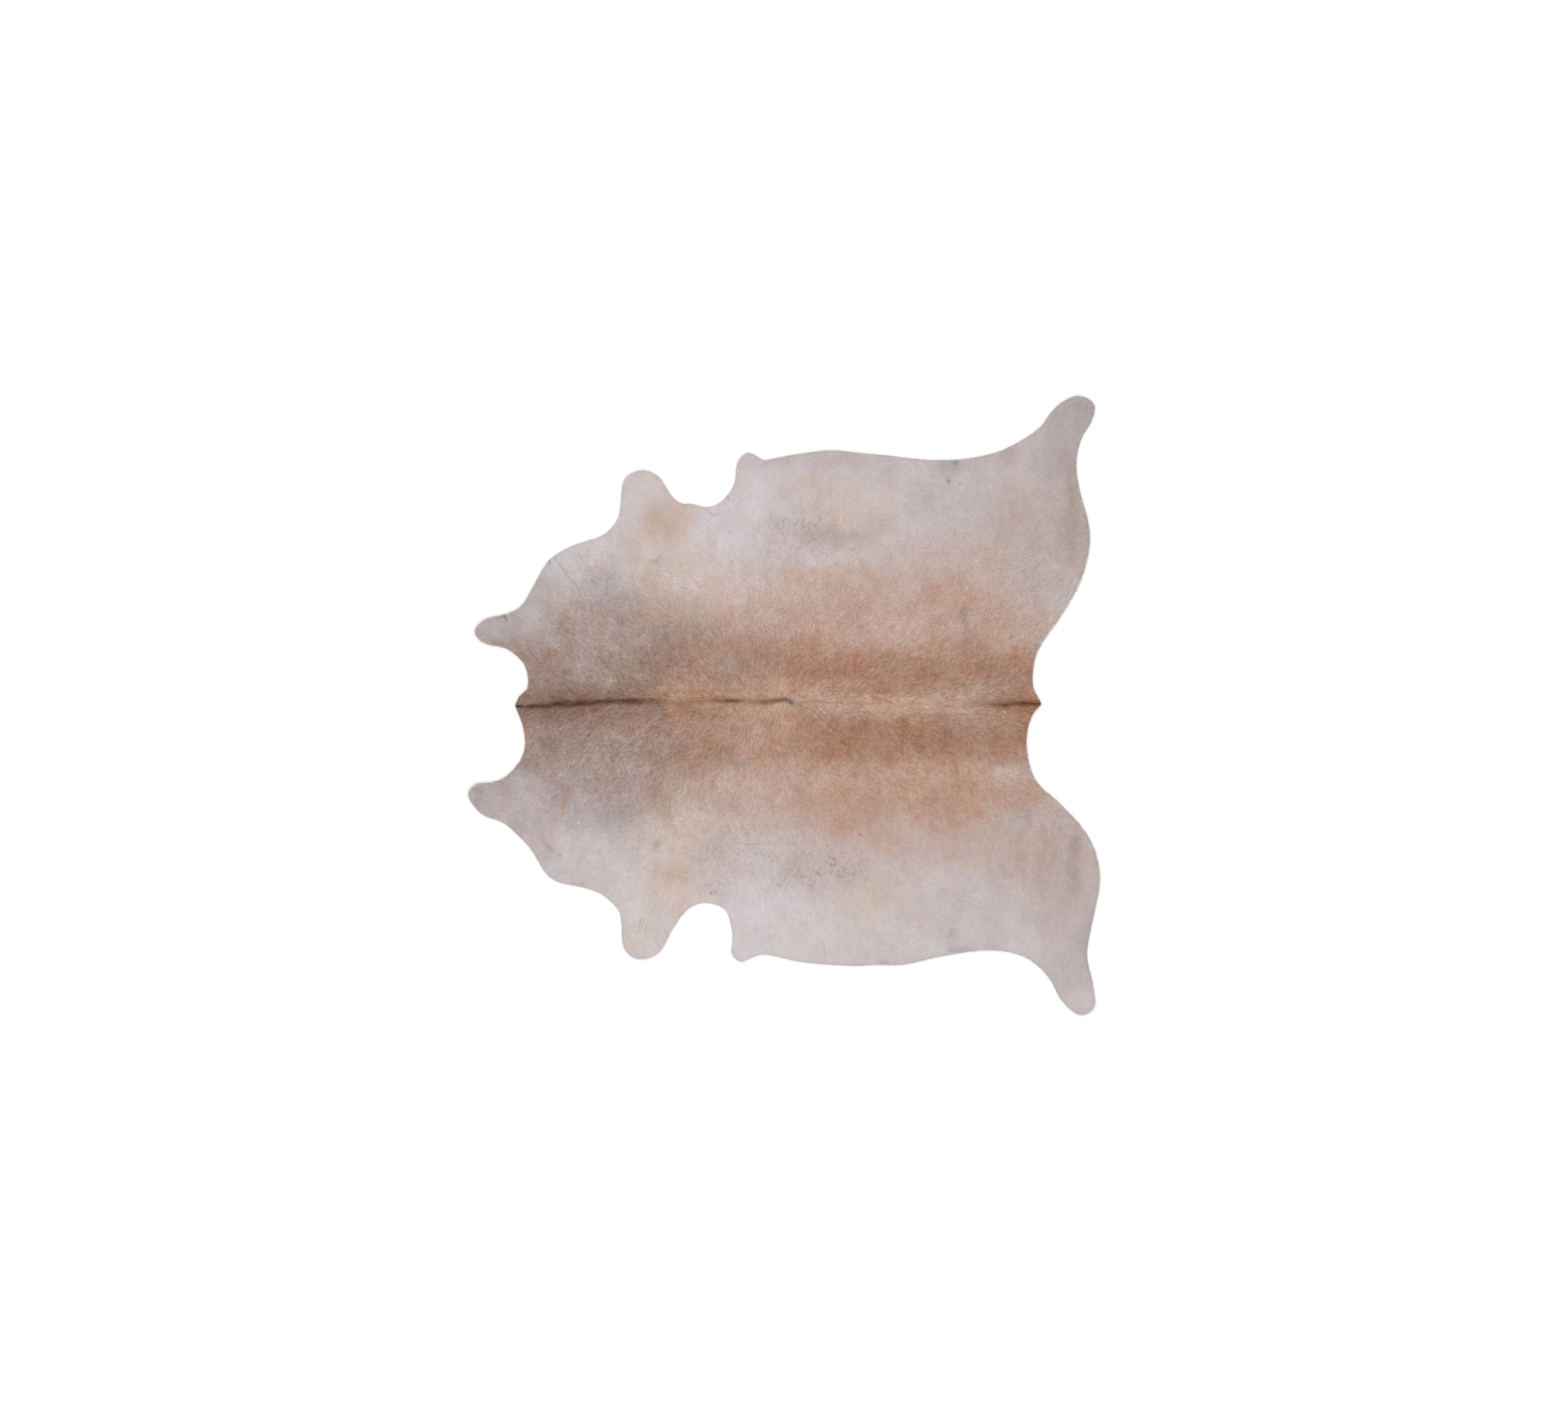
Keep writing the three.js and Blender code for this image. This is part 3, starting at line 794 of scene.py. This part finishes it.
def moved_inward(points, inset):
    """The closed line, which runs anticlockwise, moved in by that much."""
    run = np.roll(points, -1, axis=0) - np.roll(points, 1, axis=0)
    run /= np.linalg.norm(run, axis=1, keepdims=True)
    return points + inset * np.stack([-run[:, 1], run[:, 0]], -1)


def signed_distance(points, x, y):
    """Distance from the closed line, above 0 outside it."""
    nearest = np.full(x.shape, np.inf)
    inside = np.zeros(x.shape, bool)
    for (ax, ay), (bx, by) in zip(points, np.roll(points, -1, axis=0)):
        nearest = np.minimum(nearest, gap_squared(x, y, ax, ay, bx, by))
        if ay != by:
            inside ^= ((ay > y) != (by > y)) & (x < ax + (y - ay) * (bx - ax) / (by - ay))
    return np.sqrt(nearest) * np.where(inside, -1, 1)


def filled(values, rounds=12):
    """Gaps in a grid filled from their neighbours."""
    values = values.copy()
    steps = (-1, 0, 1)
    for _ in range(rounds):
        gaps = np.isnan(values)
        if not gaps.any():
            break
        around = np.stack([np.roll(values, (i, j), (0, 1)) for i in steps for j in steps])
        known = ~np.isnan(around)
        mean = np.where(known, around, 0).sum(0) / np.maximum(known.sum(0), 1)
        values = np.where(gaps & known.any(0), mean, values)
    return np.nan_to_num(values, nan=RIM_HEIGHT)


def soften(values, rounds=3):
    """A grid smoothed a little."""
    for _ in range(rounds):
        for axis in (0, 1):
            values = (np.roll(values, 1, axis) + 2 * values + np.roll(values, -1, axis)) / 4
    return values


def surface_fields(node, outline):
    """Fields of the solid's top, its underside and the distance from the outline."""
    tree = BVHTree.FromObject(node, bpy.context.evaluated_depsgraph_get())
    step = GRID_STEP
    margin = GRID_MARGIN * step
    lo = outline.min(0) - margin
    count = np.ceil((outline.max(0) + margin - lo) / step).astype(int) + 1
    xs, ys = lo[0] + step * np.arange(count[0]), lo[1] + step * np.arange(count[1])
    gx, gy = np.meshgrid(xs, ys, indexing="ij")
    edge = signed_distance(outline, gx, gy)
    top, under = np.full(gx.shape, np.nan), np.full(gx.shape, np.nan)
    for i, j in np.argwhere(edge < -GRID_INSET):
        for heights, side in ((top, 1), (under, -1)):
            hit = tree.ray_cast(Vector((gx[i, j], gy[i, j], side)), Vector((0, 0, -side)))[0]
            if hit is not None:
                heights[i, j] = hit.z
    return [field(lo, step, grid) for grid in (soften(filled(top)), filled(under), edge)]


def crease_height(x, y):
    """Height added by the creases."""
    x, y = x / CM, y / CM
    height = np.zeros(len(x))
    for _, x0, y0, x1, y1, half, rise in CREASES:
        height += rise * np.exp(-gap_squared(x, y, x0, y0, x1, y1) / half**2)
    return height * CM


def leather_top(x, y):
    """Height of the leather under the hair."""
    depth = COAT_AT_EDGE + (COAT_ON_BACK - COAT_AT_EDGE) * bell(y, DEEP_REACH)
    relief = crease_height(x, y) + noise("skin relief", x, y)
    return np.maximum(top_at(x, y) - depth + relief, under_at(x, y) + LEATHER_LEAST)


def hair_direction(x, y):
    """Which way the hair lies, as a unit vector in the plane."""
    dx, dy = x - WHORL[0], y - WHORL[1]
    away = np.abs(dy)
    # From the whorl the hair runs back to the tail, forward to the neck and out
    forward, backward, outward = 0.75, 0.88, 0.8
    ahead = dx + 0.12 * np.tanh(away / 0.15)
    lengthwise = np.where(ahead < 0, forward, backward) * np.tanh(ahead / (0.1 + 0.55 * away))
    at_whorl = bell(dy, reach=0.045) * bell(dx, reach=0.2)
    sideways = outward * np.tanh(dy / 0.07) * (1 + 0.5 * at_whorl)
    # On the legs it runs down to the hooves, and on the cheeks forward
    hind_leg = ramp(np.abs(y), start=0.75, length=0.2) * ramp(x, start=0.75, length=0.15)
    foreleg = ramp(np.abs(y), start=0.6, length=0.15) * bell(x + 0.48, reach=0.16)
    cheek = ramp(-x, start=0.86, length=0.08)
    lengthwise = lengthwise * (1 - 0.75 * hind_leg) * (1 - 0.8 * foreleg)
    sideways = sideways * (1 - 0.7 * cheek)
    angle = np.arctan2(sideways, lengthwise)
    for _, cx, cy, reach, turn in FLOW_TURNS:
        away = np.hypot(x / CM - cx, y / CM - cy)
        angle = angle + math.radians(turn) * bell(away, reach)
    angle = angle + noise("lie", x, y)
    return np.cos(angle), np.sin(angle)


def laid_out(xy, whole, layout):
    """Places in the layout's part of the texture, which holds the whole piece."""
    share, corner = layout
    return (xy - whole.min(0)) / np.ptp(whole, axis=0) * share + corner


def placed(name, data):
    """A new object in the scene."""
    obj = bpy.data.objects.new(name, data)
    bpy.context.scene.collection.objects.link(obj)
    return obj


def mesh_object(name, verts, faces, colours, material, uv):
    """A mesh of triangles from arrays, with a colour at each point."""
    mesh = bpy.data.meshes.new(name)
    faces = np.asarray(faces, np.int32)
    mesh.from_pydata(np.asarray(verts, np.float32), [], faces)
    paint_layer = mesh.color_attributes.new("Coat", "FLOAT_COLOR", "POINT")
    rgba = np.ones((len(verts), 4), np.float32)
    rgba[:, :3] = colours
    paint_layer.data.foreach_set("color", rgba.ravel())
    layer = mesh.uv_layers.new(name="OFBake")
    layer.data.foreach_set("uv", np.asarray(uv, np.float32)[faces.ravel()].ravel())
    mesh.materials.append(material)
    mesh.shade_smooth()
    return placed(name, mesh)


def node_tree(name):
    """A new material, its node tree and its shader."""
    material = bpy.data.materials.new(name)
    material.use_nodes = True
    tree = material.node_tree
    return material, tree, tree.nodes["Principled BSDF"]


def add(tree, kind, **values):
    """A new node, with its inputs or its own settings set by name."""
    node = tree.nodes.new(kind)
    for key, value in values.items():
        if key in node.inputs:
            node.inputs[key].default_value = value
        else:
            setattr(node, key, value)
    return node


def grain(tree, place, scale, detail, roughness):
    """A noise fixed to the hide."""
    node = add(tree, "ShaderNodeTexNoise", Scale=scale, Detail=detail, Roughness=roughness)
    tree.links.new(place.outputs["Object"], node.inputs["Vector"])
    return node.outputs["Fac"]


def graded(tree, source, low, high):
    """The middle range of a noise, spread between two numbers."""
    spans = {"From Min": 0.3, "From Max": 0.7, "To Min": low, "To Max": high}
    node = add(tree, "ShaderNodeMapRange", **spans)
    tree.links.new(source, node.inputs["Value"])
    return node.outputs["Result"]


def finish_surface(tree, shader, tone, rough, height, strength, distance):
    """Gives the shader the hide's own colours, its roughness and its fine relief."""
    link = tree.links.new
    paint_in = add(tree, "ShaderNodeAttribute", attribute_name="Coat")
    shade = add(tree, "ShaderNodeVectorMath", operation="SCALE")
    link(paint_in.outputs["Color"], shade.inputs[0])
    link(tone, shade.inputs["Scale"])
    link(shade.outputs["Vector"], shader.inputs["Base Color"])
    link(rough, shader.inputs["Roughness"])
    bump = add(tree, "ShaderNodeBump", Strength=strength, Distance=distance)
    link(height, bump.inputs["Height"])
    link(bump.outputs["Normal"], shader.inputs["Normal"])


def coat_material():
    """Lying hair: satin, with fine lines along it."""
    material, tree, shader = node_tree("coat_hair")
    place = add(tree, "ShaderNodeTexCoord")
    hairs = grain(tree, place, scale=900, detail=2, roughness=0.6)
    patches = grain(tree, place, scale=14, detail=3, roughness=0.55)
    tone = graded(tree, hairs, 0.93, 1.07)
    rough = graded(tree, patches, 0.52, 0.68)
    finish_surface(tree, shader, tone, rough, height=hairs, strength=0.25, distance=0.0004)
    shader.inputs["Specular IOR Level"].default_value = 0.25
    return material


def skin_material():
    """Leather: short hair roots on top, and a napped suede underside."""
    material, tree, shader = node_tree("hide_leather")
    place = add(tree, "ShaderNodeTexCoord")
    nap = grain(tree, place, scale=420, detail=4, roughness=0.65)
    blotch = grain(tree, place, scale=9, detail=5, roughness=0.6)
    both = add(tree, "ShaderNodeMath", operation="MULTIPLY")
    tree.links.new(graded(tree, nap, 0.88, 1.1), both.inputs[0])
    tree.links.new(graded(tree, blotch, 0.95, 1.05), both.inputs[1])
    rough = graded(tree, nap, 0.78, 0.95)
    tone = both.outputs["Value"]
    finish_surface(tree, shader, tone, rough, height=nap, strength=0.5, distance=0.0006)
    shader.inputs["Specular IOR Level"].default_value = 0.2
    return material


def hex_points(spacing, room, scatter, rng):
    """Points spread over the inside of the outline."""
    lo, hi = outline.min(0), outline.max(0)
    rows = np.arange(lo[1], hi[1], spacing * math.sqrt(3) / 2)
    columns = np.arange(lo[0], hi[0] + spacing, spacing)
    gx, gy = np.meshgrid(columns, rows)
    gx = gx + (np.arange(len(rows))[:, None] % 2) * spacing / 2
    points = np.stack([gx.ravel(), gy.ravel()], -1)
    points += rng.uniform(-scatter, scatter, points.shape) * spacing
    return points[edge_at(points[:, 0], points[:, 1]) < -room]


def triangulated(ring, inner):
    """Points and triangles over the ring and the points inside it."""
    points = [Vector(p) for p in np.vstack([ring, inner])]
    edges = [(k, (k + 1) % len(ring)) for k in range(len(ring))]
    out = delaunay_2d_cdt(points, edges, [], 1, 1e-7)
    xy = np.array([v[:] for v in out[0]])
    if not np.allclose(xy[: len(ring)], ring, atol=1e-6):
        raise RuntimeError("the ring's points moved in the triangulation")
    return xy, [f[:] for f in out[2]]


def build_skin(material):
    """The leather as one closed thin sheet."""
    rng = np.random.default_rng(SEED)
    ring = moved_inward(evenly_spaced(outline, RIM_STEP), LEATHER_EDGE_INSET)
    count = len(ring)
    top_points = hex_points(TOP_SPACING, TOP_ROOM, LEATHER_SCATTER, rng)
    low_points = hex_points(LOW_SPACING, LOW_ROOM, LEATHER_SCATTER, rng)
    top_xy, top_faces = triangulated(ring, top_points)
    low_xy, low_faces = triangulated(ring, low_points)
    top_x, top_y = top_xy.T
    low_x, low_y = low_xy.T
    low_z = np.minimum(under_at(low_x, low_y), leather_top(low_x, low_y) - LEATHER_LEAST_LOW)
    low_z = np.maximum(low_z, 0)
    top = np.column_stack([top_xy, leather_top(top_x, top_y)])
    verts = np.vstack([top, np.column_stack([low_xy, low_z])])
    first = len(top_xy)
    faces = [tuple(f) for f in top_faces]
    faces += [tuple(first + k for k in reversed(f)) for f in low_faces]
    for k in range(count):
        m = (k + 1) % count
        faces += [(k, first + k, first + m), (k, first + m, m)]
    top_colour = linear(paint_back_line(coat_colour(top_x, top_y), top_x, top_y))
    # The leather under the hair is painted darker: painted shade at the hair roots, and more at
    # the cut rim
    top_colour *= (ROOT_PAINTED_SHADE - ROOT_PAINTED_SHADE_BACK * near_back(top_y))[:, None]
    top_colour[:count] *= RIM_PAINTED_SHADE
    suede = linear(PALETTE["suede"]) * (1 + noise("suede", low_x, low_y))[:, None]
    uv = [laid_out(top_xy, outline, TOP_LAYOUT), laid_out(low_xy, outline, LOW_LAYOUT)]
    colours = np.vstack([top_colour, suede])
    return mesh_object("hide_skin", verts, faces, colours, material, np.vstack(uv))


def lock_colours(x, y, rng):
    """The coat's colour at each lock, with its own streaks, flecks and spread, and painted shadow
    between locks on the shoulders.
    """
    stray = rng.normal(0, HAIR_STRAY, (2, len(x)))
    colour = coat_colour(x + stray[0], y + stray[1])
    single = rng.normal(0, 1, len(x))
    shoulder = bell(x + 0.55, reach=0.3) * bell(y, reach=0.42)
    rear = ramp(x, start=-0.3, length=0.4)
    cheek = ramp(-x, start=0.78, length=0.1) * ramp(np.abs(y), start=0.18, length=0.08)
    contrast = 0.2 + 0.13 * rear + 0.52 * near_back(y) + 0.34 * shoulder
    contrast = contrast * (1 - 0.5 * cheek)
    locks = noise("locks", x, y)
    locks = np.where(locks > 0, PALER_LOCKS, DARKER_LOCKS) * locks
    # Painted shadow between the locks on the shoulders, as darker streaks
    dark = LOCK_PAINTED_SHADOW * shoulder * np.clip(noise("painted lock shadows", x, y) - 0.3, 0, 1)
    level = contrast * (locks + SINGLE_LOCK * single) - dark
    return paint_mottles(colour, x, y) + level[:, None] * TONE_SPREAD


def blade_arrays():
    """Root, direction, length, width, lift, roll and colour of every lock of hair."""
    rng = np.random.default_rng(SEED + 1)
    x, y = hex_points(HAIR_SPACING, HAIR_ROOM, HAIR_SCATTER, rng).T
    dx, dy = hair_direction(x, y)
    turn = rng.normal(0, HAIR_TURN, len(x))
    dx, dy = dx * np.cos(turn) - dy * np.sin(turn), dx * np.sin(turn) + dy * np.cos(turn)
    back = near_back(y)
    length = towards_back(HAIR_LENGTH, back) * rng.uniform(*LENGTH_SPREAD, len(x))
    for _ in range(TRIMS):
        over = edge_at(x + dx * length, y + dy * length) > HAIR_OVERHANG
        length = np.where(over, length * TRIMMED, length)
    width = towards_back(HAIR_WIDTH, back) * rng.uniform(*WIDTH_SPREAD, len(x))
    lift = towards_back(HAIR_LIFT, back) * rng.uniform(*LIFT_SPREAD, len(x))
    lift = np.minimum(lift, length * STEEPEST_LIFT)
    roll = rng.normal(0, HAIR_TURN, len(x)) * towards_back(HAIR_ROLL, back)
    return x, y, dx, dy, length, width, lift, roll, lock_colours(x, y, rng)


def build_coat(material):
    """The coat as five broad bands of separate flat locks."""
    x, y, dx, dy, length, width, lift, roll, colour = blade_arrays()
    root_z = leather_top(x, y) + ROOT_RAISE
    tip_x, tip_y = x + dx * length, y + dy * length
    mid_x, mid_y = x + dx * length * MIDDLE_PLACE, y + dy * length * MIDDLE_PLACE
    mid_z = leather_top(mid_x, mid_y) + lift * MIDDLE_LIFT
    tip_z = leather_top(tip_x, tip_y) + lift
    side = np.stack([-dy * np.cos(roll), dx * np.cos(roll), np.sin(roll)], -1)
    half_side = side * (width / 2)[:, None]
    # Each lock has two points at its root, two at its middle and one at its tip
    corners = (
        (x, y, root_z, -ROOT_NARROWING),
        (x, y, root_z, ROOT_NARROWING),
        (mid_x, mid_y, mid_z, -1),
        (mid_x, mid_y, mid_z, 1),
        (tip_x, tip_y, tip_z, 0),
    )
    lock_faces = np.array([(0, 1, 3), (0, 3, 2), (2, 3, 4)])
    back = near_back(y)
    # Painted light and shade by the lie of the hair, and painted shade towards the belly edges
    gain_and_painted_light = COAT_GAIN * (1 + LIE_PAINTED_LIGHT[0] * dx * dy + LIE_PAINTED_LIGHT[1] * dx - FLANK_PAINTED_SHADE * (1 - back))
    # Painted shade at each lock's root and painted light at its tip
    root_painted_shade, even = ROOT_PAINTED_SHADE - ROOT_PAINTED_SHADE_BACK * back, np.ones(len(x))
    tones = np.stack([root_painted_shade, root_painted_shade, even, even, towards_back(TIP_PAINTED_LIGHT, back)], -1)
    tones *= gain_and_painted_light[:, None]
    pieces = []
    for name, start, end in zip(COAT_NAMES, COAT_CUTS, COAT_CUTS[1:]):
        own = (x >= start) & (x < end)
        verts = [np.stack(place, -1)[own] + half_side[own] * share for *place, share in corners]
        verts = np.stack(verts, 1).reshape(-1, 3)
        colours = np.repeat(colour[own], len(corners), axis=0)
        colours = paint_marks(paint_back_line(colours, *verts.T[:2]), *verts.T[:2])
        colours = linear(colours) * tones[own].reshape(-1, 1)
        firsts = np.arange(0, len(verts), len(corners))
        faces = (firsts[:, None, None] + lock_faces).reshape(-1, 3)
        uv = laid_out(verts[:, :2], verts[:, :2], COAT_LAYOUT)
        pieces.append(mesh_object(name, verts, faces, colours, material, uv))
    return pieces


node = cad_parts["hide"]
outline = evenly_spaced(outline_of(node), OUTLINE_STEP)
top_at, under_at, edge_at = surface_fields(node, evenly_spaced(outline, DISTANCE_STEP))
skin = build_skin(skin_material())
coat = build_coat(coat_material())
for piece in [skin, *coat]:
    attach(piece, "root")
    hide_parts("hide")

# Pale round floor, so wide that its edge is a level horizon, and just under the hide
FLOOR_RADIUS = 60
FLOOR_DROP = 0.0003
bpy.ops.mesh.primitive_circle_add(
    vertices=96, radius=FLOOR_RADIUS, fill_type="NGON", location=(0, 0, -FLOOR_DROP)
)
floor = bpy.context.object
floor.name = "floor"
floor_material, _, floor_shader = node_tree("floor_white")
floor_shader.inputs["Base Color"].default_value = (0.93, 0.93, 0.93, 1)
floor_shader.inputs["Roughness"].default_value = 0.9
floor_shader.inputs["Specular IOR Level"].default_value = 0
floor.data.materials.append(floor_material)


def studio_light(name, energy, spread, tilt, lean):
    """A broad soft light from far off, its angles in degrees."""
    light = bpy.data.lights.new(name, "SUN")
    light.energy = energy
    light.angle = math.radians(spread)
    placed(name, light).rotation_euler = (math.radians(tilt), math.radians(lean), 0)


studio_light("soft_key", energy=1.15, spread=35, tilt=-24, lean=-34)
studio_light("soft_fill", energy=0.85, spread=50, tilt=34, lean=18)
scene = bpy.context.scene
world = bpy.data.worlds.new("studio")
scene.world = world
world.use_nodes = True
backdrop = world.node_tree.nodes["Background"]
backdrop.inputs["Color"].default_value = (1, 1, 1, 1)
backdrop.inputs["Strength"].default_value = 0.62

# The camera is straight above, and sees as much of the floor as the photograph shows
METRES_PER_PIXEL = 0.00265
PHOTO_WIDTH = 2022
CAMERA_HEIGHT = 8
camera_data = bpy.data.cameras.new("camera")
camera_data.sensor_width = 36
camera_data.lens = camera_data.sensor_width * CAMERA_HEIGHT / (PHOTO_WIDTH * METRES_PER_PIXEL)
camera = placed("camera", camera_data)
camera.location = (0, 0, CAMERA_HEIGHT)
scene.camera = camera
scene.view_settings.view_transform = "Standard"
scene.view_settings.look = "None"
